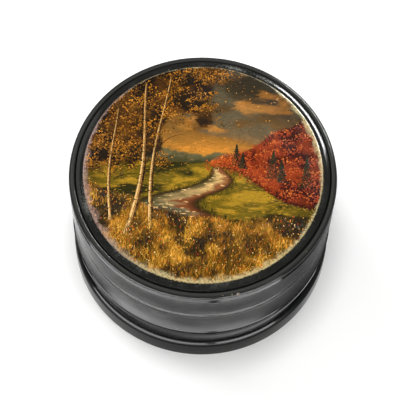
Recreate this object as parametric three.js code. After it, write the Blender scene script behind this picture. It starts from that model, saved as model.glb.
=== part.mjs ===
// Round lacquered tobacco box with a pull-off lid, turned from pressed paper board.
// Millimetres, +Z up. The origin is the middle of the foot, on the table.
import * as THREE from "three";

// Radii, each set off from the bead that runs round the edge of the lid
const beadRadius = 45;
const wallSetback = 0.1; // the walls stand this much inside the bead
const seamSetback = 0.55; // the body's upper edge draws in this much more under the lid
const footProud = 0.1; // the foot swells this much past the walls
const neckDepth = 0.85; // narrow neck under the body's lip
const filletDepth = 0.4; // small square edge under that neck
const throatDepth = 1.4; // recessed band between that edge and the foot
const coveDepth = 0.95; // deepest place of the body's hollow side

// Heights, each counted from the piece below
const footHeight = 9.9;
const throatHeight = 10.9; // recessed band, square edge and neck
const bodyHeight = 16.2;
const lidWallHeight = 12.7;
const neckHeight = 2;
const filletHeight = 1.7;

// Sloped edges that catch the light, inwards and along the wall
const flareDepth = 0.55; // slope of the body's side down to its lip
const flareHeight = 1.1;
const shelfDepth = 0.4; // the body's edge under the lid
const shelfHeight = 0.56;
const bevelDepth = 0.6; // the lid wall's edge under the bead
const bevelHeight = 0.85;

// Lid plate: bead, groove, black margin with a round edge, low dome
const beadWidth = 2.15;
const beadHeight = 2.9;
const beadRound = 1.25;
const beadFall = 0.1; // the bead's top falls this much towards the groove
const grooveWidth = 0.3;
const grooveDepth = 0.7; // below the top of the bead
const marginWidth = 2.15; // from the painting to the groove
const marginDrop = 0.15; // fall of the flat part of the margin
const marginRound = 0.8; // sloped and round part of the margin
const marginRise = 3.7; // from the plate's underside to the edge of the painting
const crownRise = 1.8; // from the edge of the painting to the middle of the dome
const lidPlateThickness = 3;
const glueLedge = 2.4; // flat ring under the plate, inside the lid wall's bore

// Painted ground on the dome
const paintThickness = 0.3;
const paintInset = 0.1; // between the painting's edge and the start of the margin
const paintSeat = 0.02;

// Walls, sleeve and bottom
const wallThickness = 3.4;
const sleeveThickness = 1.4;
const sleeveStand = 10.5; // how far the sleeve stands out of the body
const slipClearance = 0.2; // between the sleeve and the lid's bore
const glueLine = 0.05; // glue between pieces that sit inside one another
const bottomThickness = 3;
const bottomLift = 0.8; // the bottom plate clears the table by this much
const rebateWidth = 1.1; // ledge in the foot that the bottom plate is glued under

// Edges
const edgeRound = 0.45;
const lipRound = 0.3;
const seamRound = 0.7; // lower edge of the lid wall
const footRound = 2.9;
const baseRound = 0.5;
const sleeveRound = 0.4;
const mouthChamfer = 0.4;

// Facets
const turnSegments = 72;
const domeSteps = 6;
const sideSteps = 8;
const roundSteps = 4;
const footSteps = 6;

// Places that follow from the sizes
const wallRadius = beadRadius - wallSetback;
const seamRadius = wallRadius - seamSetback;
const footRadius = wallRadius + footProud;
const throatRadius = wallRadius - throatDepth;
const neckRadius = wallRadius - neckDepth;
const filletRadius = wallRadius - filletDepth;
const coveRadius = wallRadius - coveDepth;
const boreRadius = wallRadius - wallThickness;
const sleeveOuter = boreRadius - glueLine;
const sleeveInner = sleeveOuter - sleeveThickness;
const lidBore = sleeveOuter + slipClearance;
const rebateRadius = boreRadius + rebateWidth;
const bottomTop = bottomLift + bottomThickness;
const lipLevel = footHeight + throatHeight;
const seamLevel = lipLevel + bodyHeight;
const plateLevel = seamLevel + lidWallHeight;
const sleeveTop = seamLevel + sleeveStand;
const beadLevel = plateLevel + beadHeight;
const beadInner = beadRadius - beadWidth;
const rimRadius = beadInner - grooveWidth;
const marginRadius = rimRadius - marginWidth;
const marginLevel = plateLevel + marginRise;
const paintRadius = marginRadius - paintInset;
const domeRadius = (marginRadius ** 2 + crownRise ** 2) / (2 * crownRise);

const lacquer = { color: 0x0d0d0e, roughness: 0.14, metalness: 0 };
const wornLacquer = { color: 0x141210, roughness: 0.3, metalness: 0 };
const redLacquer = { color: 0x6e1f14, roughness: 0.25, metalness: 0 };
const oilPainting = { color: 0x8c5c26, roughness: 0.22, metalness: 0 };

const rad = THREE.MathUtils.degToRad;

// points along a round edge, angles in degrees, 0 pointing outwards and 90 up
function arc(radius, level, curve, from, to, steps = roundSteps) {
  const points = [];
  for (let i = 0; i <= steps; i++) {
    const angle = rad(from + ((to - from) * i) / steps);
    points.push([radius + curve * Math.cos(angle), level + curve * Math.sin(angle)]);
  }
  return points;
}

// points along a smooth curve that leaves and reaches its ends along two pulls
function sweep(from, pullFrom, pullTo, to, steps = sideSteps) {
  const curve = new THREE.CubicBezierCurve(...[from, pullFrom, pullTo, to].map(([r, z]) => new THREE.Vector2(r, z)));
  return curve.getPoints(steps).map((point) => [point.x, point.y]);
}

// height of the dome over a radius, with the edge of the painting at its level
function domeLevel(radius) {
  return marginLevel + crownRise - (domeRadius - Math.sqrt(domeRadius ** 2 - radius ** 2));
}

// points along the dome from the middle out to a radius, raised by a height
function dome(toRadius, raised, steps = domeSteps) {
  const points = [];
  for (let i = 0; i <= steps; i++) {
    const radius = (toRadius * i) / steps;
    points.push([radius, domeLevel(radius) + raised]);
  }
  return points;
}

// a turned piece: its outline goes anticlockwise, up the outside and down the inside
function turned(name, outline, finish) {
  const closed = [...outline, outline[0]];
  const profile = closed.map(([r, z]) => new THREE.Vector2(r, z));
  const geometry = new THREE.LatheGeometry(profile, turnSegments);
  geometry.rotateX(Math.PI / 2);
  const mesh = new THREE.Mesh(geometry, new THREE.MeshStandardMaterial(finish));
  mesh.name = name;
  return mesh;
}

// Foot ring: swelling foot, recessed band, small square edge and a neck under the body
function footRing() {
  const turn = Math.acos(1 - (footRadius - throatRadius) / footRound);
  const swellLevel = footHeight - footRound * Math.sin(turn);
  const swellTurn = THREE.MathUtils.radToDeg(turn);
  const filletTop = lipLevel - neckHeight;
  const filletLow = filletTop - filletHeight;
  return turned("foot_ring", [
    [rebateRadius, 0],
    ...arc(footRadius - baseRound, baseRound, baseRound, -90, 0),
    ...arc(footRadius - footRound, swellLevel, footRound, 0, swellTurn, footSteps),
    [throatRadius, filletLow - filletHeight / 2],
    [filletRadius, filletLow],
    [filletRadius, filletTop],
    [neckRadius, filletTop],
    [neckRadius, lipLevel],
    [boreRadius, lipLevel],
    [boreRadius, bottomTop],
    [rebateRadius, bottomTop],
  ], lacquer);
}

// Body wall: lip, slope above it, hollow side and a sloped edge under the lid
function bodyWall() {
  const flare = [wallRadius - flareDepth, lipLevel + flareHeight];
  const shelf = [seamRadius, seamLevel - shelfHeight];
  const reach = (shelf[1] - flare[1]) / 2;
  return turned("body_wall", [
    [boreRadius, lipLevel],
    ...arc(wallRadius - lipRound, lipLevel + lipRound, lipRound, -90, 36),
    ...sweep(flare, [coveRadius, flare[1] + flareHeight], [coveRadius, shelf[1] - reach], shelf),
    [seamRadius - shelfDepth, seamLevel],
    [boreRadius, seamLevel],
  ], lacquer);
}

// Sleeve glued inside the body; the lid slips over the part that stands out
function sleeve() {
  return turned("sleeve", [
    [sleeveInner, bottomTop],
    [sleeveOuter, bottomTop],
    [sleeveOuter, sleeveTop - sleeveRound],
    [sleeveOuter - sleeveRound, sleeveTop],
    [sleeveInner + sleeveRound, sleeveTop],
    [sleeveInner, sleeveTop - sleeveRound],
  ], wornLacquer);
}

// Bottom plate, glued into the rebate of the foot and raised off the table
function bottomPlate() {
  return turned("bottom_plate", [
    [0, bottomLift],
    [rebateRadius - glueLine, bottomLift],
    [rebateRadius - glueLine, bottomTop],
    [0, bottomTop],
  ], redLacquer);
}

// Lid wall: ring that rests on the body and slips over the sleeve, with a sloped edge under the bead
function lidWall() {
  const bevelLow = plateLevel - edgeRound - bevelHeight;
  return turned("lid_wall", [
    [lidBore + mouthChamfer, seamLevel],
    ...arc(wallRadius - seamRound, seamLevel + seamRound, seamRound, -90, 0),
    [wallRadius, bevelLow],
    [wallRadius - bevelDepth, plateLevel - edgeRound],
    [wallRadius - bevelDepth - edgeRound, plateLevel],
    [lidBore, plateLevel],
    [lidBore, seamLevel + mouthChamfer],
  ], lacquer);
}

// Lid plate: flat glue ring below, bead, groove, margin and dome above
function lidPlate() {
  const ledgeRadius = lidBore - glueLedge;
  const hollow = dome(ledgeRadius - mouthChamfer, -lidPlateThickness);
  const slopeLevel = marginLevel - marginDrop;
  return turned("lid_plate", [
    [ledgeRadius, plateLevel],
    ...arc(beadRadius - beadRound, plateLevel + beadRound, beadRound, -90, 0),
    ...arc(beadRadius - beadRound, beadLevel - beadRound, beadRound, 0, 82),
    ...arc(beadInner + lipRound, beadLevel - beadFall - lipRound, lipRound, 98, 180),
    [beadInner - grooveWidth / 2, beadLevel - grooveDepth],
    [rimRadius, beadLevel - grooveDepth / 2],
    ...sweep([rimRadius, slopeLevel - marginRound], [rimRadius, slopeLevel - marginRound / 2],
      [rimRadius - marginRound / 4, slopeLevel - marginRound / 4], [rimRadius - marginRound, slopeLevel], roundSteps),
    ...dome(marginRadius, 0).reverse(),
    ...hollow,
  ], lacquer);
}

// Painting: ground, colour and varnish as one thin skin on the dome
function paintedSkin() {
  const under = dome(paintRadius, paintSeat);
  const edge = [paintRadius - paintThickness, domeLevel(paintRadius) + paintSeat + paintThickness];
  const over = dome(paintRadius - paintThickness, paintSeat + paintThickness).reverse().slice(1);
  return turned("painted_skin", [...under, edge, ...over], oilPainting);
}

const body = new THREE.Group();
body.add(footRing(), bodyWall(), sleeve(), bottomPlate());

const lid = new THREE.Group();
lid.add(lidWall(), lidPlate(), paintedSkin());

const tobaccoBox = new THREE.Group();
tobaccoBox.add(body, lid);

export default tobaccoBox;
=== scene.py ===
# Round lacquered tobacco box with a painted lid, on a pale table in soft studio light.
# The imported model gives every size. Outlines and patterns are in millimetres, meshes in metres.
import math
from functools import partial
import bmesh
import bpy
import numpy as np
from mathutils import Euler, Matrix, Quaternion, Vector


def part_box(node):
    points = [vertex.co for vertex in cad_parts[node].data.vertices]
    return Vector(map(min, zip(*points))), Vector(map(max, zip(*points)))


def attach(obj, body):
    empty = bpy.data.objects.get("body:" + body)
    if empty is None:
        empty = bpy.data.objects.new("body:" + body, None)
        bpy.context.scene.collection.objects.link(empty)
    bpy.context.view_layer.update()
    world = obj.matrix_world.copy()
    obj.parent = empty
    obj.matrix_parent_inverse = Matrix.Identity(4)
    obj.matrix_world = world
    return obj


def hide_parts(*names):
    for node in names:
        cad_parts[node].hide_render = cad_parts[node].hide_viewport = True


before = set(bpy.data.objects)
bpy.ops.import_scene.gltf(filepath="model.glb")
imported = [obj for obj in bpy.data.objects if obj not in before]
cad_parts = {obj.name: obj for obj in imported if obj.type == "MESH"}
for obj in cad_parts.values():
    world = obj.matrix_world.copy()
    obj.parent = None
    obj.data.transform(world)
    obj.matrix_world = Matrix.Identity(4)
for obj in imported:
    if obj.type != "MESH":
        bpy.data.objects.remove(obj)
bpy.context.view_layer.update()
mm = 0.001  # metres
print("frame loaded:", sorted(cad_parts))


# small helpers for colours, nodes, materials and objects

def linear(hexColour):
    # sRGB hex to the linear colour, with alpha, that the shaders use
    parts = [int(hexColour[i:i + 2], 16) / 255 for i in (1, 3, 5)]
    return [c / 12.92 if c <= 0.04045 else ((c + 0.055) / 1.055) ** 2.4 for c in parts] + [1.0]


def addNode(tree, kind, inputs=None, operation=None, **settings):
    # adds a shader node; inputs go by place or by name, each a value or the node or socket that feeds it
    node = tree.nodes.new("ShaderNode" + kind)
    if operation:
        node.operation = operation
    for key, value in settings.items():
        setattr(node, key, value)
    pairs = inputs.items() if isinstance(inputs, dict) else enumerate(inputs or ())
    for key, value in pairs:
        if isinstance(value, bpy.types.Node):
            value = next(socket for socket in value.outputs if socket.enabled)
        if isinstance(value, bpy.types.NodeSocket):
            tree.links.new(value, node.inputs[key])
        else:
            node.inputs[key].default_value = value
    return node


smooth = {"interpolation_type": "SMOOTHSTEP"}  # a range that eases in and out


def newMaterial(name):
    # an empty material, the function that adds nodes to it, and the place of a point on the object
    material = bpy.data.materials.new(name)
    material.use_nodes = True
    material.node_tree.nodes.clear()
    add = partial(addNode, material.node_tree)
    return material, add, add("TexCoord").outputs["Object"]


def addObject(name, data):
    # puts an object in the scene; a bmesh becomes its mesh
    if isinstance(data, bmesh.types.BMesh):
        mesh = bpy.data.meshes.new(name)
        data.to_mesh(mesh)
        data.free()
        data = mesh
    thing = bpy.data.objects.new(name, data)
    bpy.context.scene.collection.objects.link(thing)
    return thing


# camera, as fitted to the outline of the box in the photograph

view = {
    "elevation": 65.14,  # degrees above the table
    "roll": -2.46,
    "distance": 630,
    "target": 51,  # level of the bead on the axis
    "offset": (0.65, -9.99),  # camera's move right and up from that target
    "lens": 164.5,
    "sensor": 36,
    "clip": (0.01, 20),
}


def placeCamera():
    tilt = Matrix.Rotation(math.radians(90 - view["elevation"]), 4, "X")
    turn = tilt @ Matrix.Rotation(-math.radians(view["roll"]), 4, "Z")
    place = Vector((0, 0, view["target"])) + turn @ Vector((*view["offset"], view["distance"]))
    data = bpy.data.cameras.new("Camera")
    data.lens = view["lens"]
    data.sensor_width = view["sensor"]
    data.clip_start, data.clip_end = view["clip"]
    camera = addObject("Camera", data)
    camera.matrix_world = Matrix.Translation(place * mm) @ turn
    bpy.context.scene.camera = camera


placeCamera()

# studio: pale table, soft surroundings and large soft lamps

studio = {
    "tableSize": 6.0,
    "tableColour": "#f4f4f3",
    "tableGlow": (0.08, 0.40),  # beside the box and far from it: a white background, its glow weaker beside the box as painted shade added to the real shadow
    "glowReach": (40, 55),  # mm from the middle of the shadow
    "shadowMiddle": (0.002, -0.002, 0.0),  # metres
    "skyColour": "#ffffff",
    "sky": 0.66,
    "darkCeiling": 0.24,  # behind and above the box, where the varnish would mirror it
    "ceilingPlace": (0.0, 0.42, 0.91),  # direction, and how near to it the ceiling starts and is full
    "ceilingReach": (0.62, 0.92),
    "frontSky": 0.35,  # added towards the front
    "frontPlace": (-0.2, -1.0, 0.1),
    "frontReach": (0.1, 0.9),
}

# each lamp's azimuth from +X towards +Y, elevation and roll in degrees, distance in metres from the axis at a
# level in mm, width and height in metres, and radiance. The cards only show as reflections in the lacquer.
lamps = {
    "leftSoftbox": (142, 40, 0, 1.0, 50, 0.55, 0.45, 6),
    "backRightSoftbox": (57, 36, -22, 0.9, 50, 0.34, 0.09, 12),
    "backRightCard": (58, 34, -19, 0.8, 50, 0.33, 0.15, 215),
    "frontRightLamp": (-38, 50, 0, 0.9, 50, 0.10, 0.10, 20),
    "frontLeftCard": (-122, 0, 0, 0.15, 27, 0.24, 0.048, 48),
    "frontRightCard": (-60, 0, 0, 0.15, 27, 0.10, 0.048, 50),
}


def buildTable():
    bm = bmesh.new()
    bmesh.ops.create_grid(bm, x_segments=8, y_segments=8, size=studio["tableSize"] / 2)
    table = addObject("table", bm)
    material, add, place = newMaterial("white photo table, matt")
    path = add("LightPath").outputs
    seen = add("Math", [path["Is Camera Ray"], path["Is Glossy Ray"]], "ADD")
    seen = add("Math", [seen, path["Is Transmission Ray"]], "ADD", use_clamp=True)
    # the glow fades towards the box: painted shade round it, seen directly and in the lacquer
    away = add("VectorMath", [place, studio["shadowMiddle"]], "DISTANCE")
    near, far = studio["glowReach"]
    level = add("MapRange", [away, near * mm, far * mm, *studio["tableGlow"]], **smooth)
    strength = add("Math", [seen, level], "MULTIPLY")
    cloth = add("BsdfDiffuse", {"Color": linear(studio["tableColour"])})
    glow = add("Emission", {"Strength": strength})
    add("OutputMaterial", [add("AddShader", [cloth, glow])])
    table.data.materials.append(material)


def buildSky():
    world = bpy.data.worlds.new("soft studio")
    bpy.context.scene.world = world
    world.use_nodes = True
    world.node_tree.nodes.clear()
    add = partial(addNode, world.node_tree)
    direction = add("TexCoord").outputs["Generated"]
    overhead = add("VectorMath", [direction, studio["ceilingPlace"]], "DOT_PRODUCT")
    ceiling = add("MapRange", [overhead, *studio["ceilingReach"], studio["sky"], studio["darkCeiling"]],
                  **smooth)
    forward = add("VectorMath", [direction, studio["frontPlace"]], "DOT_PRODUCT")
    front = add("MapRange", [forward, *studio["frontReach"], 0.0, studio["frontSky"]], **smooth)
    level = add("Math", [ceiling, front], "ADD")
    add("OutputWorld", [add("Background", {"Color": linear(studio["skyColour"]), "Strength": level})])


def placeLamp(name, azimuth, elevation, roll, distance, level, wide, high, radiance):
    data = bpy.data.lights.new(name, "AREA")
    data.shape = "RECTANGLE"
    data.size = wide
    data.size_y = high
    data.energy = radiance * math.pi * wide * high
    aim = Euler((0, -math.radians(elevation), math.radians(azimuth))).to_matrix().col[0]
    light = addObject(name, data)
    light.location = aim * distance + Vector((0, 0, level * mm))
    light.rotation_euler = (Quaternion(aim, math.radians(roll)) @ aim.to_track_quat("Z", "Y")).to_euler()
    light.visible_camera = False
    light.visible_diffuse = "Card" not in name


buildTable()
buildSky()
for lampName, lamp in lamps.items():
    placeLamp(lampName, *lamp)
bpy.context.scene.view_settings.view_transform = "Standard"
print("studio ready")


# turned pieces: half an outline in mm, spun round the Z axis

def ovalPoints(radius, level, out, rise, start, end, count):
    # points on an edge rounded as part of an oval; 0 degrees points outwards and 90 up
    angles = [math.radians(start + (end - start) * i / count) for i in range(count + 1)]
    return [(radius + out * math.cos(a), level + rise * math.sin(a)) for a in angles]


def arcPoints(radius, level, curve, start, end, count=8):
    return ovalPoints(radius, level, curve, curve, start, end, count)


def curvePoints(start, pullStart, pullEnd, end, count):
    # points on a smooth curve that leaves and reaches its ends along its two pulls
    corners = (start, pullStart, pullEnd, end)
    points = []
    for i in range(count + 1):
        t = i / count
        parts = ((1 - t) ** 3, 3 * t * (1 - t) ** 2, 3 * t * t * (1 - t), t ** 3)
        points.append(tuple(sum(w * p[k] for w, p in zip(parts, corners)) for k in (0, 1)))
    return points


def ringSize(node):
    # outer radius, lowest and highest level of a CAD node
    low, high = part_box(node)
    return high.x / mm, low.z / mm, high.z / mm


mergeGap = 1e-7  # metres


def spinOutline(outline, steps, closed=True):
    bm = bmesh.new()
    verts = [bm.verts.new((r * mm, 0, z * mm)) for r, z in outline]
    pairs = list(zip(verts, verts[1:]))
    if closed:
        pairs.append((verts[-1], verts[0]))
    edges = [bm.edges.new(pair) for pair in pairs]
    bmesh.ops.spin(bm, geom=verts + edges, cent=(0, 0, 0), axis=(0, 0, 1), dvec=(0, 0, 0),
                   angle=2 * math.pi, steps=steps, use_merge=True, use_duplicate=False)
    bmesh.ops.remove_doubles(bm, verts=bm.verts, dist=mergeGap)
    bmesh.ops.recalc_face_normals(bm, faces=bm.faces)
    return bm


# how far round a dent the mesh is refined and in how many cuts, and how rough its hollow is
dentShape = {"refine": 1.3, "cuts": 4, "rough": 0.25}


def dentEdge(bm, nicks):
    # knocks small dents into a polished edge
    chip = bm.verts.layers.float.new("chip")
    for azimuth, radius, level, size, depth, tilt, bare in nicks:
        angle = math.radians(azimuth)
        middle = Vector((radius * math.cos(angle), radius * math.sin(angle), level)) * mm
        reach = size * mm
        fine = dentShape["refine"] * reach
        near = [e for e in bm.edges if min((v.co - middle).length for v in e.verts) < fine]
        bmesh.ops.subdivide_edges(bm, edges=near, cuts=dentShape["cuts"], use_grid_fill=True)
        inward = Vector((-math.cos(angle), -math.sin(angle), tilt)).normalized()
        for v in bm.verts:
            away = (v.co - middle).length / reach
            if away < 1:
                wave = math.sin(v.co.x / mm * 9 + v.co.z / mm * 7)
                rough = 1 - dentShape["rough"] + dentShape["rough"] * wave
                v.co += inward * depth * mm * rough * (1 - away * away) ** 1.5
                v[chip] = max(v[chip], bare * (1 - away * away))


# rings beside the box that only its lacquer mirrors, drawn as (radius, level) in mm: glowing rings, no lamps,
# that paint light into its reflections on the hollow side, the recessed band and the foot's shoulder, and a
# dark one that paints shade into the walls at the right
ringSteps = 96
rings = [
    {"name": "litRing", "outline": [(48, 14), (55, 14)], "towards": -97, "spread": (0.70, 0.98), "glow": 20,
     "middle": (0, -6, 0), "rise": (44.2, 46.2), "end": (46.9, 46.3)},
    {"name": "bandRing", "outline": [(44.2, 9.5), (46.6, 9.5)], "towards": -50, "spread": (0.55, 1.0),
     "glow": 1.3},
    {"name": "lowRing", "outline": [(67, 0.5), (67, 9)], "towards": -95, "spread": (0.4, 0.9), "glow": 13},
    {"name": "darkRing", "outline": [(48, 0.6), (64, 0.6)], "towards": -5, "spread": (0.70, 0.95),
     "cover": 0.62},
]


def buildRing(ring):
    card = addObject(ring["name"], spinOutline(ring["outline"], ringSteps, closed=False))
    material, add, place = newMaterial("soft card, " + ring["name"])
    flat = add("VectorMath", [place, (1, 1, 0)], "MULTIPLY")
    outward = add("VectorMath", [flat], "NORMALIZE")
    aim = math.radians(ring["towards"])
    turn = add("VectorMath", [outward, (math.cos(aim), math.sin(aim), 0)], "DOT_PRODUCT")
    side = add("MapRange", [turn, *ring["spread"]], **smooth)
    if "cover" in ring:
        cover = add("Math", [side, ring["cover"]], "MULTIPLY")
        left = add("Math", [1.0, cover], "SUBTRACT")
        shader = add("BsdfTransparent", {"Color": left})
    else:
        strength = add("Math", [side, ring["glow"]], "MULTIPLY")
        if "middle" in ring:
            # only a narrow band lights up, at these distances from a point beside the axis
            away = add("VectorMath", [flat, [x * mm for x in ring["middle"]]], "DISTANCE")
            rise = add("MapRange", [away, *(x * mm for x in ring["rise"])])
            rise = add("Math", [rise, 3.0], "POWER")
            end = add("MapRange", [away, *(x * mm for x in ring["end"])])
            patch = add("Math", [rise, end], "MULTIPLY")
            strength = add("Math", [strength, patch], "MULTIPLY")
        glow = add("Emission", {"Strength": strength})
        shader = add("AddShader", [add("BsdfTransparent"), glow])
    add("OutputMaterial", [shader])
    card.data.materials.append(material)
    card.visible_camera = False
    card.visible_diffuse = False
    card.visible_shadow = False


for ring in rings:
    buildRing(ring)


def addValues(mesh, name, values):
    mesh.attributes.new(name, "FLOAT", "POINT").data.foreach_set("value", values)


wearGain = 8  # from how far a point stands out to how much it is worn


def finishMesh(bm, name, sharpAngle=38):
    # turns a bmesh into a linked object, smooth but for its crisp edges
    bm.normal_update()
    # how far each point stands out on a convex edge, which is where polish wears
    rub = []
    for v in bm.verts:
        pulls = [(e.other_vert(v).co - v.co).normalized().dot(v.normal) for e in v.link_edges]
        rub.append(max(0.0, -sum(pulls) / max(1, len(pulls))) * wearGain)
    piece = addObject(name, bm)
    addValues(piece.data, "rub", np.clip(rub, 0, 1))
    piece.data.shade_smooth()
    piece.data.set_sharp_from_angle(angle=math.radians(sharpAngle))
    return piece


def meshPoints(mesh):
    flat = np.zeros(len(mesh.vertices) * 3)
    mesh.vertices.foreach_get("co", flat)
    return flat.reshape(-1, 3)


def ease(start, end, value):
    t = np.clip((value - start) / (end - start), 0, 1)
    return t * t * (3 - 2 * t)


def dressPiece(piece, body, materials, replaced=()):
    for material in materials:
        piece.data.materials.append(material)
    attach(piece, body)
    if replaced:
        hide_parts(*replaced)
    print("made", piece.name, len(piece.data.polygons), "faces")


# black oil lacquer on papier-mache, many coats polished: a black mirror with a soft, slightly wavy gloss

blackLook = {
    "colour": "#0b0c0b",
    "brown": "#1f1c19",  # where the black is rubbed thin
    "board": "#8a7a64",  # paper board and dust in the chips
    "roughness": 0.12,
    "wornRoughness": 0.30,
    "dustAndSheen": "#90918a",  # grey haze of old polish, and the grey of the painted sheen on the lid's top and bead
    "turningLine": 0.35,  # mm between turned lines, drawn coarser than the real 0.1
    "ripple": 2.6,  # mm, slow waves of the hand polish
    "speckSize": 0.55,
}


def blackLacquer():
    material, add, place = newMaterial("black oil lacquer on papier-mache")
    flat = add("VectorMath", [place, (1, 1, 0)], "MULTIPLY")
    radius = add("VectorMath", [flat], "LENGTH")
    level = add("SeparateXYZ", [place])
    across = add("Math", [radius, level.outputs["Z"]], "ADD")
    # long round the box and short across the turning
    long = add("VectorMath", {0: flat, "Scale": 1 / 14 / mm}, "SCALE")
    short = add("Math", [across, 1 / blackLook["turningLine"] / mm], "MULTIPLY")
    lift = add("CombineXYZ", {"Z": short})
    turned = add("VectorMath", [long, lift], "ADD")
    lines = add("TexNoise", {"Vector": turned, "Scale": 1.0, "Detail": 3.0, "Roughness": 0.6})
    ripple, patches, grit = (
        add("TexNoise", {"Vector": place, "Scale": 1 / size / mm, "Detail": detail, "Roughness": rough})
        for size, detail, rough in ((blackLook["ripple"], 1.0, 0.5), (9, 5.0, 0.62), (0.5, 4.0, 0.75)))
    rub, chip, haze, paintedSheen = (
        add("Attribute", attribute_name=name).outputs["Fac"] for name in ("rub", "chip", "haze", "paintedSheen"))
    # rubbed edges: only convex places, broken up by the grit
    broken = add("Math", [rub, grit], "MULTIPLY")
    worn = add("MapRange", [broken, 0.32, 0.56])
    # chips and dust specks, sparse and tiny
    cells = add("TexVoronoi", {"Vector": place, "Scale": 1 / blackLook["speckSize"] / 4 / mm,
                               "Randomness": 1.0}, feature="F1")
    speck = add("MapRange", [cells, 0.1, 0.06])
    pick = add("SeparateColor", [cells.outputs["Color"]])
    few = add("Math", [pick, 0.9], "GREATER_THAN")
    speck = add("Math", [speck, few], "MULTIPLY")
    bare = add("Math", [chip, grit], "ADD")
    bare = add("MapRange", [bare, 0.95, 1.15])
    speck = add("Math", [speck, bare], "MAXIMUM")
    # haze of old polish, streaked round the turning, plus an even painted sheen on the lid's top and bead
    streak = add("Math", [grit, patches], "MULTIPLY")
    dull = add("MapRange", [streak, 0.24, 0.38])
    dustAndSheen = add("Math", [haze, dull], "MULTIPLY")
    dustAndSheen = add("Math", [dustAndSheen, paintedSheen], "ADD")
    colour = linear(blackLook["colour"])
    for amount, layer in ((worn, "brown"), (dustAndSheen, "dustAndSheen"), (speck, "board")):
        colour = add("Mix", {0: amount, 6: colour, 7: linear(blackLook[layer])}, data_type="RGBA")
    smear = add("MapRange", [patches, 0.35, 0.75, blackLook["roughness"] - 0.02,
                             blackLook["roughness"] + 0.06])
    gloss = add("Mix", {0: worn, 2: smear, 3: blackLook["wornRoughness"]}, data_type="FLOAT")
    lineBump = add("Bump", {"Height": lines, "Strength": 0.1, "Distance": 0.02 * mm})
    rippleBump = add("Bump", {"Height": ripple, "Strength": 0.35, "Distance": 0.02 * mm, "Normal": lineBump})
    shader = add("BsdfPrincipled", {"Base Color": colour, "Roughness": gloss, "IOR": 1.5,
                                    "Specular IOR Level": 0.05, "Normal": rippleBump})
    add("OutputMaterial", [shader])
    return material


# cinnabar red lacquer inside the box: a warm satin red, darker in its brush marks

redLook = {"colour": "#7c2415", "dark": "#4a130b", "roughness": 0.30, "brushMark": 1.2}


def redLacquer():
    material, add, place = newMaterial("cinnabar red lacquer, satin")
    stretch = add("VectorMath", [place, (1, 0.2, 1)], "MULTIPLY")
    marks = add("TexNoise", {"Vector": stretch, "Scale": 1 / redLook["brushMark"] / mm, "Detail": 4.0,
                             "Roughness": 0.6})
    patches = add("TexNoise", {"Vector": place, "Scale": 1 / 11 / mm, "Detail": 3.0})
    both = add("Math", [marks, patches], "MULTIPLY")
    depth = add("MapRange", [both, 0.15, 0.38])
    colour = add("Mix", {0: depth, 6: linear(redLook["dark"]), 7: linear(redLook["colour"])},
                 data_type="RGBA")
    gloss = add("MapRange", [patches, 0.0, 1.0, redLook["roughness"] - 0.06, redLook["roughness"] + 0.1])
    bump = add("Bump", {"Height": marks, "Strength": 0.3, "Distance": 0.03 * mm})
    shader = add("BsdfPrincipled", {"Base Color": colour, "Roughness": gloss, "IOR": 1.5, "Normal": bump})
    add("OutputMaterial", [shader])
    return material


blackFinish = blackLacquer()
redFinish = redLacquer()

footShape = {
    "throat": 1.5,  # recess behind the foot's outer radius
    "neck": 0.95,  # narrow neck between the lip and the square edge
    "fillet": 0.5,  # small square edge above the recess
    "filletLevels": (17.1, 18.8),
    "swellHeight": 9.9,
    "swellCurve": 2.9,
    "baseRound": 0.5,
    "rebate": 2.4,
    "bore": 3.5,
    "rebateTop": 3.8,
    "steps": 288,
}


def buildFoot():
    outer, low, high = ringSize("foot_ring")
    throat, fillet, neck, bore, rebate = (
        outer - footShape[depth] for depth in ("throat", "fillet", "neck", "bore", "rebate"))
    filletLow, filletHigh = footShape["filletLevels"]
    curve = footShape["swellCurve"]
    top = footShape["swellHeight"]
    turn = math.acos(1 - footShape["throat"] / curve)
    base = footShape["baseRound"]
    outline = [(rebate, low)]
    outline += arcPoints(outer - base, low + base, base, -90, 0)
    outline += arcPoints(outer - curve, top - curve * math.sin(turn), curve, 0, math.degrees(turn), 14)
    outline += curvePoints((throat - 0.02, top + 0.15), (throat - 0.2, top + 2.2),
                           (throat - 0.2, filletLow - 1.6), (throat + 0.4, filletLow - 0.1), 14)
    outline += arcPoints(fillet - 0.25, filletLow + 0.25, 0.25, -75, 0, 6)
    outline += arcPoints(fillet - 0.3, filletHigh - 0.3, 0.3, 0, 80, 6)
    outline += [(neck, filletHigh + 0.1), (neck, high), (bore, high)]
    outline += [(bore, footShape["rebateTop"]), (rebate, footShape["rebateTop"])]
    piece = finishMesh(spinOutline(outline, footShape["steps"]), "foot")
    dressPiece(piece, "box", [blackFinish], ["foot_ring"])


wallShape = {
    "lipRound": 0.3,
    "flare": (0.26, 0.72),  # start of the slope down to the lip, inwards and upwards
    "coveLow": 9.5,  # level of the cove's deepest place above the lip
    "coveTop": 0.3,  # how far the cove's top stands inside the lip
    "coveDeep": 1.0,
    "bevel": (0.75, 1.2),  # sloped edges, inwards and downwards
    "lidBevel": (0.62, 1.0),
    "lidFoot": (0.45, 0.9),
    "bore": 3.4,
    "lidBore": 3.25,
    "mouth": 0.4,
    "steps": 288,
    "sharpAngle": 22,
}


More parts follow.
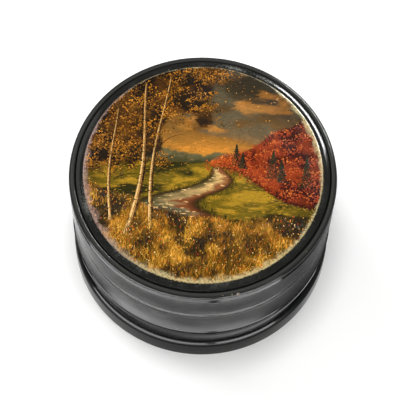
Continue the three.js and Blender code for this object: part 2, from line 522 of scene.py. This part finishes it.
def buildBodyWall():
    outer, low, high = ringSize("body_wall")
    lip = wallShape["lipRound"]
    flareIn, flareUp = wallShape["flare"]
    bevelIn, bevelDown = wallShape["bevel"]
    shoulder = outer - wallShape["coveTop"]
    deep = outer - wallShape["coveDeep"]
    outline = [(outer - wallShape["bore"], low)]
    outline += arcPoints(outer - lip, low + lip, lip, -90, 36, 8)
    deepLevel = low + wallShape["coveLow"]
    outline += curvePoints((outer - flareIn, low + flareUp), (outer - flareIn - 0.44, low + flareUp + 2.2),
                           (deep, deepLevel - 4), (deep, deepLevel), 20)
    outline += curvePoints((deep, deepLevel), (deep, deepLevel + 2.4), (shoulder - 0.25, high - 2.6),
                           (shoulder, high - bevelDown - 0.35), 16)[1:]
    outline += [(shoulder - 0.04, high - bevelDown), (shoulder - bevelIn, high - 0.03)]
    outline += [(shoulder - bevelIn - 0.1, high), (outer - wallShape["bore"], high)]
    piece = finishMesh(spinOutline(outline, wallShape["steps"]), "body", wallShape["sharpAngle"])
    dressPiece(piece, "box", [blackFinish], ["body_wall"])


def buildLidWall():
    outer = ringSize("body_wall")[0]
    low, high = ringSize("lid_wall")[1:]
    bore = outer - wallShape["lidBore"]
    footIn, footUp = wallShape["lidFoot"]
    bevelIn, bevelDown = wallShape["lidBevel"]
    outline = [(bore + wallShape["mouth"], low)]
    outline += ovalPoints(outer - footIn, low + footUp, footIn, footUp, -90, 0, 24)
    outline += ovalPoints(outer - 0.2, high - bevelDown - 1.1, 0.2, 0.75, 0, 70, 10)
    outline += [(outer - 0.2 - bevelIn, high - 0.45), (outer - 0.5 - bevelIn, high)]
    outline += [(bore, high), (bore, low + wallShape["mouth"])]
    piece = finishMesh(spinOutline(outline, wallShape["steps"]), "lid_side", wallShape["sharpAngle"])
    dressPiece(piece, "lid", [blackFinish], ["lid_wall"])


sleeveShape = {"thickness": 1.4, "lip": 0.4, "redFrom": 0.6, "steps": 256}


def buildSleeve():
    outer, low, high = ringSize("sleeve")
    inner = outer - sleeveShape["thickness"]
    lip = sleeveShape["lip"]
    outline = [(inner, low), (outer, low), (outer, high - lip)]
    outline += arcPoints(outer - lip, high - lip, lip, 0, 90)[1:]
    outline += arcPoints(inner + lip, high - lip, lip, 90, 180)
    piece = finishMesh(spinOutline(outline, sleeveShape["steps"]), "inner_sleeve")
    dressPiece(piece, "box", [blackFinish, redFinish], ["sleeve"])
    redRadius = outer - sleeveShape["redFrom"]
    for face in piece.data.polygons:
        face.material_index = int(math.hypot(face.center.x, face.center.y) < redRadius * mm)


bottomShape = {"edgeRound": 0.3, "steps": 192}


def buildBottom():
    outer, low, high = ringSize("bottom_plate")
    edge = bottomShape["edgeRound"]
    outline = [(0, low)] + arcPoints(outer - edge, low + edge, edge, -90, 0, 4)
    outline += arcPoints(outer - edge, high - edge, edge, 0, 90, 4) + [(0, high)]
    piece = finishMesh(spinOutline(outline, bottomShape["steps"], closed=False), "bottom")
    dressPiece(piece, "box", [redFinish, blackFinish], ["bottom_plate"])
    for face in piece.data.polygons:
        face.material_index = int(face.center.z <= (low + high) / 2 * mm)


# lid top: bead, groove, black margin and the low dome under the painting

lidShape = {
    "beadRound": 1.25,
    "beadHeight": 2.9,
    "beadInside": (42.85, 0.7, 0.75),  # radius of the bead's inner side, and its soft edge inwards and down
    "marginStart": 40.5,  # black margin round the painting, then a slope and a round edge
    "slopeStart": 41.3,
    "slopeEnd": 42.42,
    "rim": 42.56,
    "marginTilt": 6.5,
    "slopeTilt": 15.8,
    "groove": (42.71, 51.7),
    "thickness": 3.0,
    "ledge": 5.75,
    "seat": 0.02,
    "steps": 360,
}
# each dent's azimuth in degrees, radius, level, size, depth, upward tilt, and 1 where it bares the board
lidNicks = [
    (-73, 44.75, 52.1, 0.75, 0.30, -0.6, 1),
    (-75.5, 44.55, 52.3, 0.45, 0.18, -1.0, 1),
    (-79.5, 44.3, 52.5, 0.35, 0.12, -1.0, 1),
    (-32, 44.9, 50.9, 0.40, 0.14, 0.0, 1),
    (-115, 44.9, 50.4, 1.1, 0.45, 0.2, 0),
]

beadRadius, plateLow, crownLevel = ringSize("lid_plate")
beadRadius -= 0.01  # the fine bead stays inside the coarser one of the model
paintRadius, paintLow = ringSize("painted_skin")[:2]
domeRise = crownLevel - (paintLow - lidShape["seat"])
domeRadius = (paintRadius ** 2 + domeRise ** 2) / (2 * domeRise)


def domeLevel(radius):
    # height of the lid's dome, in mm, for a number or an array of radii
    return crownLevel - (domeRadius - np.sqrt(domeRadius ** 2 - np.square(radius)))


def hazeAndPaintedSheen(mesh):
    # old polish: specks on the margin at the front and left, scuffs on it behind; and a painted sheen, a grey
    # lift over the whole top that is stronger on the bead, standing in for reflected light
    x, y, z = (meshPoints(mesh) / mm).T
    radius = np.hypot(x, y)
    azimuth = np.degrees(np.arctan2(y, x))
    top = z > domeLevel(np.minimum(radius, 42.5)) - 2
    side = 0.12 + 0.55 * ease(80, 20, np.abs(azimuth + 135))
    near = ease(40.0, 40.3, radius) * ease(42.2, 40.5, radius)
    scuff = ease(40.6, 41.2, radius) * ease(42.5, 42.0, radius) * ease(26, 10, np.abs(azimuth - 72))
    addValues(mesh, "haze", np.clip((near * side + scuff) * top, 0, 1))
    # painted sheen: a grey lift on every top surface, stronger on the bead
    bead = 0.13 * ease(42.9, 43.5, radius) * ease(44.8, 43.7, radius) + 0.045
    addValues(mesh, "paintedSheen", bead * top)


def buildLidTop():
    curve = lidShape["beadRound"]
    top = plateLow + lidShape["beadHeight"]
    inside, softIn, softDown = lidShape["beadInside"]
    ledge = beadRadius - lidShape["ledge"]
    start, slope, end, rim = (lidShape[k] for k in ("marginStart", "slopeStart", "slopeEnd", "rim"))
    startLevel = domeLevel(start)
    slopeLevel = startLevel - (slope - start) * math.tan(math.radians(lidShape["marginTilt"]))
    endLevel = slopeLevel - (end - slope) * math.tan(math.radians(lidShape["slopeTilt"]))
    outline = [(ledge, plateLow)]
    outline += arcPoints(beadRadius - curve, plateLow + curve, curve, -90, 0, 16)
    outline += arcPoints(beadRadius - curve, top - curve, curve, 0, 86, 18)
    outline += ovalPoints(inside + softIn, top - 0.04 - softDown, softIn, softDown, 94, 178, 20)
    outline += [lidShape["groove"], (rim, lidShape["groove"][1] + 0.25)]
    outline += curvePoints((rim, endLevel - 0.6), (rim, endLevel - 0.2), (end + 0.12, endLevel - 0.05),
                           (end, endLevel), 8)
    outline += [(slope + 0.06, slopeLevel - 0.02), (slope - 0.06, slopeLevel + 0.005), (start, startLevel)]
    outline += [(r, domeLevel(r)) for r in np.linspace(start, 0, 14)[1:]]
    under = [(r, domeLevel(r) - lidShape["thickness"]) for r in np.linspace(0, ledge - 0.4, 12)]
    bm = spinOutline(outline + under, lidShape["steps"])
    dentEdge(bm, lidNicks)
    piece = finishMesh(bm, "lid_top")
    hazeAndPaintedSheen(piece.data)
    dressPiece(piece, "lid", [blackFinish, redFinish], ["lid_plate"])
    for face in piece.data.polygons:
        middleRadius = math.hypot(face.center.x, face.center.y) / mm
        below = face.center.z / mm < domeLevel(middleRadius) - 1 and middleRadius < ledge
        face.material_index = int(below)


buildFoot()
buildBodyWall()
buildLidWall()
buildSleeve()
buildBottom()
buildLidTop()

# painted lid: autumn on a river in oils, made up of a tone painting and many separate strokes.
# Places in the picture run from -1 to 1, sideways and upwards; sizes of strokes are in mm.

picture = {
    "grid": 290,
    "ground": 0.20,  # thickness of ground and paint on the dome
    "edgeRound": 0.35,
    "sharpAngle": 60,
    "mergeGap": 0.05,
    "strokeInset": 0.25,  # from the edge of the painting
    "skyLow": "#8c6e34", "skyHigh": "#39372a", "skyGrey": "#5c6054", "skyGlow": "#d09a42",
    "hillFar": "#646a52", "hill": "#363e24",
    "meadow": "#6c6618", "meadowLight": "#a8942c", "meadowDark": "#2c300e",
    "waterLight": "#dccb94", "waterGrey": "#5d6558", "waterDark": "#2a1d0c", "waterRed": "#7a3a18",
    "wood": "#8c3c18", "woodDark": "#3c150a",
    "grass": "#7c5a12", "grassLight": "#b98a2a", "grassDark": "#221c07",
    "leaf": "#5e3f10", "leafDark": "#1e1607", "barkMark": "#1d140a", "spark": "#f6e6b4",
}
woodTones = ["#3a140a", "#7c2e14", "#a84a20", "#c86c30", "#e6a050"]
leafTones = ["#1c1506", "#4c3a0e", "#8a6216", "#c08a24", "#f0c454"]
bushTones = ["#141405", "#2f330d", "#595714", "#8c7a1e", "#c4a43a"]
barkTones = ["#33230f", "#735d36", "#a88c55", "#d4bb82", "#f2e0ae"]
petalTones = ["#f3e4a6", "#ecc24a", "#e08a2a", "#c4441a", "#f0d070"]
pineTones = ["#0d100a", "#18200f", "#26301a", "#3a4424", "#56602f"]
latticeSize = 64


def latticeNoise(x, y, cell, seed):
    # smooth random values from 0 to 1, with a lattice point every cell
    lattice = np.random.default_rng(seed).random((latticeSize, latticeSize))
    u = np.asarray(x, float) / cell + 5 * latticeSize
    v = np.asarray(y, float) / cell + 5 * latticeSize
    i = np.floor(u).astype(int)
    j = np.floor(v).astype(int)
    fu = ease(0, 1, u - i)
    fv = ease(0, 1, v - j)
    low, high = j % latticeSize, (j + 1) % latticeSize
    near, far = (lattice[k % latticeSize, low] * (1 - fv) + lattice[k % latticeSize, high] * fv
                 for k in (i, i + 1))
    return near * (1 - fu) + far * fu


def cloudNoise(x, y, cell, seed, octaves=4):
    total = 0
    weight = 0
    for k in range(octaves):
        total = total + 0.5 ** k * latticeNoise(x, y, cell / 2 ** k, seed + 7 * k)
        weight += 0.5 ** k
    return total / weight


def tone(colour):
    # the linear colour of a named tone; an array of colours stays as it is
    return np.array(linear(picture[colour])[:3]) if isinstance(colour, str) else colour


def over(base, colour, amount):
    # lays a colour over the picture, in an amount from 0 to 1 at each place
    amount = np.clip(amount, 0, 1)[:, None]
    return tone(base) * (1 - amount) + tone(colour) * amount


def riverPlace(v):
    # how far down the river a level is, the middle of the river there and half its width
    down = np.clip(0.055 - v, 0, 2)
    middle = 0.10 - 0.55 * down + 0.20 * np.sin(13 * down) * np.minimum(1, 0.30 + 2.0 * down)
    return down, middle, 0.016 + 0.62 * down


def woodTop(u):
    return 0.05 + 0.44 * ease(0.04, 0.92, u) + 0.05 * latticeNoise(u, 0, 0.09, 15)


def woodFoot(u):
    return 0.045 - 0.36 * ease(0.08, 0.80, u) + 0.03 * latticeNoise(u, 0, 0.11, 19)


def foreground(u, v):
    edge = -0.44 + 0.22 * u * u - 0.10 * u + 0.12 * (cloudNoise(u, 0, 0.3, 23) - 0.5)
    return ease(edge + 0.02, edge - 0.02, v)


def canopy(u, v):
    # how deep inside the birches' foliage a place is, at the top and left
    depth = 0.62 * v - 0.52 * u - 0.30 - 0.25 * ease(0.3, -0.2, v)
    return depth + 0.75 * (cloudNoise(u, v, 0.24, 81) - 0.5)


def riverScene(u, v):
    # the tone painting: one linear colour for each place
    fine = cloudNoise(u, v, 0.05, 5)
    streak = cloudNoise(u * 0.30, v, 0.06, 9)
    colour = over("skyLow", "skyHigh", ease(0.10, 0.85, v + 0.15 * u))
    cloud = cloudNoise(u * 0.45 - 0.3 * v, v + 0.15 * u, 0.20, 3, 5)
    colour = over(colour, "skyGrey", 0.8 * ease(0.45, 0.62, cloud))
    colour = over(colour, "skyGlow", 0.55 * ease(0.60, 0.74, cloudNoise(u * 0.4, v + 0.1 * u, 0.13, 8)))
    glow = np.exp(-((u - 0.10) ** 2 / 0.13 + (v - 0.15) ** 2 / 0.018))
    colour = over(colour, "skyGlow", glow * (0.75 + 0.5 * streak))
    colour = colour * (0.80 + 0.40 * fine)[:, None]
    # far hills
    top = 0.11 + 0.07 * latticeNoise(u, 0, 0.16, 11) + 0.03 * latticeNoise(u, 0, 0.03, 12)
    hills = over("hillFar", "hill", ease(0.16, 0.05, v) + fine - 0.5)
    colour = over(colour, hills, ease(top + 0.012, top - 0.012, v))
    # meadows on both banks, in long lights and shadows
    field = over("meadow", "meadowLight", ease(0.52, 0.68, streak))
    field = over(field, "meadowDark", ease(0.50, 0.34, cloudNoise(u * 0.5, v, 0.10, 31)))
    colour = over(colour, field, ease(0.075, 0.060, v))
    # autumn wood on the right
    foot = woodFoot(u)
    inWood = ease(-0.012, 0.012, woodTop(u) - v) * ease(-0.012, 0.012, v - foot) * ease(0.10, 0.16, u)
    wood = over("wood", "woodDark", ease(0.40, 0.62, cloudNoise(u, v, 0.12, 37)))
    wood = over(wood, "woodDark", ease(0.07, 0.0, v - foot))
    colour = over(colour, wood, inWood)
    # river with the sky and the wood in it
    down, middle, half = riverPlace(v)
    side = (u - middle) / half
    bank = np.abs(side)
    ripple = 1.6 * (cloudNoise(u * 0.18, v, 0.026, 47) - 0.5)
    water = over("waterLight", "waterGrey", ease(0.12, 0.50, down) + 0.8 * (streak - 0.5))
    water = over(water, "waterRed", 0.85 * ease(0.0, 0.6, side + ripple))
    water = over(water, "hill", 0.85 * ease(0.1, -0.7, side + ripple))
    water = over(water, "waterDark", 0.8 * ease(0.62, 0.98, bank))
    colour = over(colour, "waterDark", 0.85 * ease(1.32, 1.05, bank) * ease(0.02, 0.05, down))
    colour = over(colour, water, ease(1.05, 0.97, bank) * ease(0.0, 0.01, down))
    # grass in front
    grass = over("grass", "grassLight", ease(0.52, 0.70, cloudNoise(u, v, 0.16, 57)))
    shade = cloudNoise(u, v, 0.16, 51) + 0.10 * (v + 0.7)
    grass = over(grass, "grassDark", 0.9 * ease(0.50, 0.66, shade))
    colour = over(colour, grass, foreground(u, v))
    # shade under the birches' foliage
    leaf = over("leaf", "leafDark", ease(0.36, 0.60, cloudNoise(u, v, 0.13, 61)))
    colour = over(colour, leaf, 0.96 * ease(0.0, 0.12, canopy(u, v)))
    rim = ease(0.70, 1.02, np.hypot(u, v))
    return colour * (1 - 0.45 * rim * (0.6 + 0.8 * cloudNoise(u, v, 0.3, 71)))[:, None]


def paintAttribute(mesh, colours):
    layer = mesh.color_attributes.new("paint", "FLOAT_COLOR", "POINT")
    flat = np.ones((len(mesh.vertices), 4))
    flat[:, :3] = np.clip(colours, 0, 1)
    layer.data.foreach_set("color", flat.ravel())


# oil paint on a light ground under old varnish: deep warm colour, a soft gloss, fine cracks,
# and a ragged edge rubbed through to the cream ground and to the black lacquer

paintLook = {
    "cream": "#ead79c",
    "pink": "#b9988a",
    "amber": (1.24, 0.94, 0.66),  # what the yellowed varnish does to the colours
    "crack": 2.4,  # mm across a plate of paint, drawn coarser than the real 1
    "grain": 0.30,  # mm, brush grain in the paint
    "roughness": 0.15,
    "dirt": "#2a1c0c",  # in the cracks
}


def paintFinish():
    material, add, place = newMaterial("oil painting under old varnish")
    paint = add("Attribute", attribute_name="paint")
    flat = add("VectorMath", [place, (1, 1, 0)], "MULTIPLY")
    radius = add("VectorMath", [flat], "LENGTH")
    # brush grain, bends of the cracks, their fading, ragged edge, broad patches, uneven width of the edge
    grain, warp, fade, ragged, broad, uneven = (
        add("TexNoise", {"Vector": place, "Scale": 1 / size / mm, "Detail": detail, "Roughness": rough})
        for size, detail, rough in ((paintLook["grain"], 3.0, 0.6), (3, 2.0, 0.5), (8, 2.0, 0.5),
                                    (0.8, 6.0, 0.75), (9, 2.0, 0.5), (3, 4.0, 0.5)))
    shade = add("MapRange", [grain, 0.25, 0.75, 0.86, 1.12])
    tint = add("VectorMath", {0: paint.outputs["Color"], "Scale": shade}, "SCALE")
    tint = add("VectorMath", [tint, paintLook["amber"]], "MULTIPLY")
    # cracks between plates of paint
    bent = add("VectorMath", {0: warp.outputs["Color"], "Scale": 1.2 * mm}, "SCALE")
    bent = add("VectorMath", [place, bent], "ADD")
    plates = add("TexVoronoi", {"Vector": bent, "Scale": 1 / paintLook["crack"] / mm},
                 feature="DISTANCE_TO_EDGE")
    crack = add("MapRange", [plates, 0.0, 0.035, 1.0, 0.0])
    seen = add("MapRange", [fade, 0.45, 0.65, 0.0, 0.35])
    crack = add("Math", [crack, seen], "MULTIPLY")
    # the rubbed edge is wide at the front and at the right, and narrow at the back
    sideways = add("VectorMath", [place, (-0.42, -0.91, 0)], "DOT_PRODUCT")
    wide = add("MapRange", [sideways, -32 * mm, 38 * mm, 0.8 * mm, 4.2 * mm], **smooth)
    rightward = add("VectorMath", [place, (0.91, 0.41, 0)], "DOT_PRODUCT")
    wider = add("MapRange", [rightward, 33 * mm, 39 * mm, 0.0, 3.4 * mm], **smooth)
    wide = add("Math", [wide, wider], "ADD")
    uneven = add("MapRange", [uneven, 0.33, 0.67, 0.25, 0.62])
    patchy = add("Math", [wide, uneven], "MULTIPLY")
    jitter = add("MapRange", [ragged, 0.3, 0.7, -0.55 * mm, 0.45 * mm])
    rim = add("Math", [radius, jitter], "ADD")
    past = add("Math", [rim, paintRadius * mm], "SUBTRACT")
    reach = add("Math", [past, patchy], "DIVIDE")
    reach = add("Math", [reach, grain], "ADD")
    cream = add("MapRange", [reach, -0.95, 0.35, 0.0, 0.92], **smooth)
    worn = add("MapRange", [ragged, 0.4, 0.55, 0.35])
    cream = add("Math", [cream, worn], "MULTIPLY")
    bare = add("MapRange", [rim, (paintRadius - 0.3) * mm, (paintRadius - 0.02) * mm])
    leftSide = add("MapRange", [add("SeparateXYZ", [place]).outputs["X"], -12 * mm, -34 * mm])
    ground = add("Mix", {0: leftSide, 6: linear(paintLook["cream"]), 7: linear(paintLook["pink"])},
                 data_type="RGBA")
    black = linear(blackLook["colour"])
    for amount, layer in ((crack, linear(paintLook["dirt"])), (cream, ground), (bare, black)):
        tint = add("Mix", {0: amount, 6: tint, 7: layer}, data_type="RGBA")
    gloss = add("MapRange", [broad, 0.3, 0.7, paintLook["roughness"] - 0.03, paintLook["roughness"] + 0.05])
    height = add("Math", [grain, crack], "SUBTRACT")
    bump = add("Bump", {"Height": height, "Strength": 0.35, "Distance": 0.04 * mm})
    shader = add("BsdfPrincipled", {"Base Color": tint, "Roughness": gloss, "IOR": 1.5,
                                    "Specular IOR Level": 0.25, "Normal": bump})
    add("OutputMaterial", [shader])
    return material


paintMaterial = paintFinish()


def buildGround():
    # a square grid drawn out to a disc, laid on the dome and closed underneath
    bm = bmesh.new()
    bmesh.ops.create_grid(bm, x_segments=picture["grid"], y_segments=picture["grid"], size=1)
    for v in bm.verts:
        x, y, z = v.co
        x, y = x * math.sqrt(1 - y * y / 2), y * math.sqrt(1 - x * x / 2)
        v.co = (x * paintRadius * mm, y * paintRadius * mm, 0)
    edge = [e for e in bm.edges if e.is_boundary]
    for share in (1.0, 0.8, 0.6, 0.4, 0.2, 0.001):
        grown = bmesh.ops.extrude_edge_only(bm, edges=edge)["geom"]
        edge = [e for e in grown if isinstance(e, bmesh.types.BMEdge)]
        for v in {v for e in edge for v in e.verts}:
            reach = share * paintRadius * mm / math.hypot(v.co.x, v.co.y)
            v.co = (v.co.x * reach, v.co.y * reach, -1)
    for v in bm.verts:
        radius = math.hypot(v.co.x, v.co.y) / mm
        level = domeLevel(radius) + lidShape["seat"]
        if v.co.z == 0:
            drop = max(0.0, radius - paintRadius + picture["edgeRound"]) / picture["edgeRound"]
            level += picture["ground"] * math.sqrt(max(0.0, 1 - drop * drop * 0.96))
        v.co.z = level * mm
    bmesh.ops.remove_doubles(bm, verts=bm.verts, dist=picture["mergeGap"] * mm)
    bmesh.ops.recalc_face_normals(bm, faces=bm.faces)
    piece = finishMesh(bm, "painted_ground", picture["sharpAngle"])
    places = meshPoints(piece.data)[:, :2] / mm / paintRadius
    paintAttribute(piece.data, riverScene(*places.T))
    dressPiece(piece, "lid", [paintMaterial], ["painted_skin"])


def layStrokes(name, u, v, angle, length, width, colours, lift, relief, taper=0.0):
    # one small crowned dab, copied until there are enough, and each copy drawn out to its own stroke
    inside = np.hypot(u, v) * paintRadius + 0.35 * length < paintRadius - picture["strokeInset"]
    u, v, angle, length, width, lift = (part[inside][:, None] for part in (u, v, angle, length, width, lift))
    count = len(u)
    corners = 8
    points = corners + 1  # with the middle
    bm = bmesh.new()
    bmesh.ops.create_circle(bm, cap_ends=True, cap_tris=True, segments=corners, radius=1)
    made = 1
    while made < count:
        bmesh.ops.duplicate(bm, geom=bm.verts[:] + bm.edges[:] + bm.faces[:])
        made *= 2
    bm.verts.ensure_lookup_table()
    bmesh.ops.delete(bm, geom=bm.verts[count * points:], context="VERTS")
    piece = addObject(name, bm)
    mesh = piece.data
    dabX, dabY = meshPoints(mesh)[:, :2].T.reshape(2, count, points)
    along = dabX * length / 2
    across = dabY * width / 2 * (1 - taper * (dabX + 1) / 2)
    x = u * paintRadius + along * np.cos(angle) - across * np.sin(angle)
    y = v * paintRadius + along * np.sin(angle) + across * np.cos(angle)
    crown = 1 - np.hypot(dabX, dabY)
    z = domeLevel(np.hypot(x, y)) + lidShape["seat"] + picture["ground"] + lift + relief * crown
    mesh.vertices.foreach_set("co", np.stack((x, y, z), 2).reshape(-1) * mm)
    mesh.update()
    mesh.shade_smooth()
    # each dab is painted lighter at its raised middle and darker at its rim: painted shading on the crown
    shade = 0.94 + 0.12 * crown
    paintAttribute(mesh, (colours[inside, None] * shade[:, :, None]).reshape(-1, 3))
    dressPiece(piece, "lid", [paintMaterial])


def scatter(count, seed):
    random = np.random.default_rng(seed)
    radius = np.sqrt(random.random(count)) * 0.985
    angle = random.random(count) * 2 * math.pi
    return radius * np.cos(angle), radius * np.sin(angle), random


def vary(colours, random, spread, warm):
    # small changes of light and of warmth from stroke to stroke
    light = np.exp(random.normal(0, spread, len(colours)))
    heat = random.normal(0, warm, len(colours))
    return colours * np.stack((light * (1 + heat), light, light * (1 - heat)), 1)


def ramp(names, light):
    # a colour between the tones of a list, from dark to light
    table = np.array([linear(name)[:3] for name in names])
    place = np.clip(light, 0, 1) * (len(names) - 1.001)
    low = place.astype(int)
    part = (place - low)[:, None]
    return table[low] * (1 - part) + table[low + 1] * part


def joined(strokes, more):
    # two sets of strokes as one: places sideways, places upwards, sizes and colours
    return [np.concatenate(pair) for pair in zip(strokes, more)]


def crownDabs(crowns, names, dabs, size, random):
    # rounded masses of leaves, each lit from the upper left: far ones first
    rows = []
    for cu, cv, radius in crowns:
        count = int(dabs * radius * radius / 0.0025)
        reach = np.sqrt(random.random(count)) * (1 + 0.16 * random.normal(0, 1, count))
        turn = random.random(count) * 2 * math.pi
        du = reach * np.cos(turn)
        dv = reach * np.sin(turn) * 0.88
        light = 0.42 + 0.42 * (0.80 * dv - 0.55 * du) + random.normal(0, 0.08, count) + random.normal(0, 0.09)
        order = np.argsort(light + random.normal(0, 0.2, count))
        rows.append(np.stack((cu + du * radius, cv + dv * radius, light), 1)[order])
    rows = np.concatenate(rows)
    length = size * random.uniform(0.6, 1.3, len(rows))
    return rows[:, 0], rows[:, 1], length, ramp(names, rows[:, 2])


def paintAir():
    # long soft strokes for sky, far hills and meadows
    u, v, random = scatter(9000, 101)
    keep = (v > 0.0) & (canopy(u, v) < 0.05) & (v > woodTop(u) * (u > 0.1))
    u, v = u[keep], v[keep]
    low = v < 0.2
    length = np.where(low, random.uniform(0.7, 1.8, len(u)), random.uniform(1.4, 3.4, len(u)))
    width = np.where(low, 0.26, 0.5) * random.uniform(0.7, 1.2, len(u))
    colours = vary(riverScene(u, v), random, 0.10, 0.03)
    layStrokes("painted_air", u, v, random.normal(0.18, 0.22, len(u)), length, width, colours,
               random.uniform(0, 0.01, len(u)), 0.012)


def paintMeadow():
    # meadows and water in flat strokes, with lights on both and reeds along the banks
    u, v, random = scatter(20000, 113)
    down, middle, half = riverPlace(v)
    side = np.abs(u - middle) / half
    keep = (v < 0.07) & (foreground(u, v) < 0.5) & ((u < 0.12) | (v < woodFoot(u)))
    u, v, down, side = u[keep], v[keep], down[keep], side[keep]
    wet = side < 1.0
    length = random.uniform(0.7, 2.4, len(u)) * (0.55 + 1.1 * down)
    width = random.uniform(0.15, 0.32, len(u)) * (0.8 + 0.6 * down)
    colours = vary(riverScene(u, v), random, np.where(wet, 0.10, 0.20), 0.04)
    pick = random.random(len(u))
    spark = wet & (side < 0.75) & (pick < 0.10)
    colours[spark] = tone("spark")
    sun = ~wet & (pick < 0.13) & (side > 1.4)
    colours[sun] = ramp(bushTones, random.uniform(0.75, 1, sun.sum()))
    reed = ~wet & (side < 1.45) & (pick > 0.6)
    colours[reed] = ramp(bushTones, random.uniform(0, 0.6, reed.sum()))
    upright = random.normal(1.5, 0.3, len(u))
    angle = np.where(reed, upright, random.normal(0.03, np.where(wet, 0.03, 0.08), len(u)))
    lift = random.uniform(0.0, 0.015, len(u))
    layStrokes("painted_meadow", u, v, angle, length, width, colours, lift, 0.018)


# place sideways, level of the foot, height
spruces = [(0.27, 0.05, 0.20), (0.325, 0.03, 0.15), (0.58, -0.05, 0.27),
           (0.65, -0.08, 0.21), (0.86, -0.12, 0.30)]


def paintWood():
    # the autumn wood on the right: crowns in rows, spruces between them, bushes along its foot
    random = np.random.default_rng(127)
    crowns = []
    for row in np.linspace(1, 0.12, 7):
        for place in np.arange(0.11, 1.02, 0.075 - 0.02 * row):
            at = place + random.normal(0, 0.012)
            level = woodFoot(at) + (woodTop(at) - woodFoot(at)) * row * 0.93
            crowns.append((at, level, random.uniform(0.045, 0.068) * (1.15 - 0.35 * row)))
    strokes = crownDabs(crowns, woodTones, 26, 0.62, random)
    needles = 420
    for cu, foot, tall in spruces:
        rise = random.random(needles)
        spread = random.uniform(-1, 1, needles) * (1 - rise) * 0.30 * tall * (0.75 + 0.25 * np.sin(rise * 60))
        light = 0.35 - 0.3 * spread / tall * 5 + random.normal(0, 0.18, needles)
        size = random.uniform(0.3, 0.6, needles)
        strokes = joined(strokes, (cu + spread, foot + rise * tall, size, ramp(pineTones, light)))
    bushes = [(at, woodFoot(at) - 0.01, random.uniform(0.018, 0.036)) for at in np.arange(0.13, 1.0, 0.03)]
    u, v, size, colours = joined(strokes, crownDabs(bushes, bushTones, 34, 0.42, random))
    layStrokes("painted_wood", u, v, random.uniform(0, math.pi, len(u)), size, size * 0.6,
               vary(colours, random, 0.08, 0.05), np.linspace(0.0, 0.03, len(u)), 0.03)


# foot and top, width in mm, and bend
birches = [
    ((-0.60, -0.58), (-0.47, 0.80), 2.1, 0.045),
    ((-0.41, -0.52), (-0.34, 0.86), 1.5, -0.04),
    ((-0.74, -0.46), (-0.76, 0.55), 1.2, -0.03),
]


def paintBirches():
    # white trunks with dark bark marks, and thin boughs out of them
    random = np.random.default_rng(149)
    rows = []
    for foot, top, thick, bend in birches:
        start = np.array(foot)
        run = np.array(top) - start
        lean = math.atan2(run[1], run[0])
        for rise in np.linspace(0, 1, 110):
            at = start + run * rise + (bend * math.sin(rise * 4.2), 0)
            width = thick * (1 - 0.62 * rise) * (1 + 0.5 * math.exp(-rise * 30))
            for part, share, light in ((0.32, 0.62, 0.10), (0.0, 0.72, 0.55), (-0.24, 0.48, 1.0)):
                place = at + (part * width / 40, random.normal(0, 0.003))
                rows.append((*place, lean + random.normal(0, 0.05), 1.5, width * share,
                             light - 0.32 * rise + random.normal(0, 0.09)))
            if random.random() < 0.40:
                place = at + (random.uniform(-0.3, 0.4) * width / 40, 0)
                rows.append((*place, random.normal(0.1, 0.3), width * random.uniform(0.5, 1.1),
                             random.uniform(0.4, 1.0), -1))
        for rise in np.linspace(0.34, 0.95, 11):
            way = random.choice((-1, 1))
            at = start + run * rise
            angle = lean - way * random.uniform(0.5, 1.0)
            for step in range(9):
                at = at + np.array((math.cos(angle), math.sin(angle))) * 0.026
                angle -= way * 0.10
                rows.append((*at, angle, 1.5, 0.34 * (1 - step / 11), -1))
    u, v, angle, length, width, light = np.array(rows).T
    bark = ramp(barkTones, light)
    bark[light < -0.5] = tone("barkMark")
    lift = 0.002 + 0.036 * ease(-0.50, -0.36, v) + np.linspace(0, 0.004, len(u))
    layStrokes("painted_birches", u, v, angle, length, width, bark, lift, 0.01)


def paintLeaves():
    # gold foliage of the birches, and single leaves blown across the sky
    random = np.random.default_rng(131)
    spots = np.stack((*scatter(900, 133)[:2], 0.035 + 0.045 * random.random(900)), 1)
    spots = spots[canopy(*spots.T[:2]) > -0.02][:190]
    strokes = crownDabs(spots, leafTones, 17, 0.60, random)
    u, v = scatter(700, 137)[:2]
    loose = (canopy(u, v) > -0.30) & (v > -0.1)
    u, v = u[loose], v[loose]
    size = random.uniform(0.35, 0.6, len(u))
    u, v, size, colours = joined(strokes, (u, v, size, ramp(leafTones, random.uniform(0.3, 1, len(u)))))
    layStrokes("painted_leaves", u, v, random.uniform(0, math.pi, len(u)), size, size * 0.55,
               vary(colours, random, 0.10, 0.05), np.linspace(0.01, 0.05, len(u)), 0.035)


def paintGrass():
    # grass and flowers in front, the nearest blades last
    u, v, random = scatter(26000, 139)
    keep = random.random(len(u)) < 0.95 * foreground(u, v - 0.02)
    u, v = u[keep][:9500], v[keep][:9500]
    order = np.argsort(-v)
    u, v = u[order], v[order]
    clump = cloudNoise(u, v, 0.10, 57) - 0.5 * (cloudNoise(u, v, 0.16, 51) - 0.5)
    light = ease(0.25, 0.85, clump) + random.normal(0, 0.22, len(u))
    gold = random.random(len(u)) < 0.55
    colours = np.where(gold[:, None], ramp(leafTones, light), ramp(bushTones, light))
    length = random.uniform(0.8, 2.6, len(u)) * (0.7 - 0.6 * v)
    width = random.uniform(0.15, 0.28, len(u))
    angle = random.normal(1.5, 0.42, len(u))
    flower = random.random(len(u)) < 0.10
    picks = random.integers(0, len(petalTones), flower.sum())
    colours[flower] = np.array([linear(name)[:3] for name in petalTones])[picks]
    length[flower] = random.uniform(0.35, 0.70, flower.sum())
    width[flower] = length[flower] * 0.8
    layStrokes("painted_grass", u, v, angle, length, width, vary(colours, random, 0.10, 0.04),
               np.linspace(0.0, 0.04, len(u)), 0.03, 0.6)


buildGround()
paintAir()
paintMeadow()
paintWood()
paintBirches()
paintLeaves()
paintGrass()
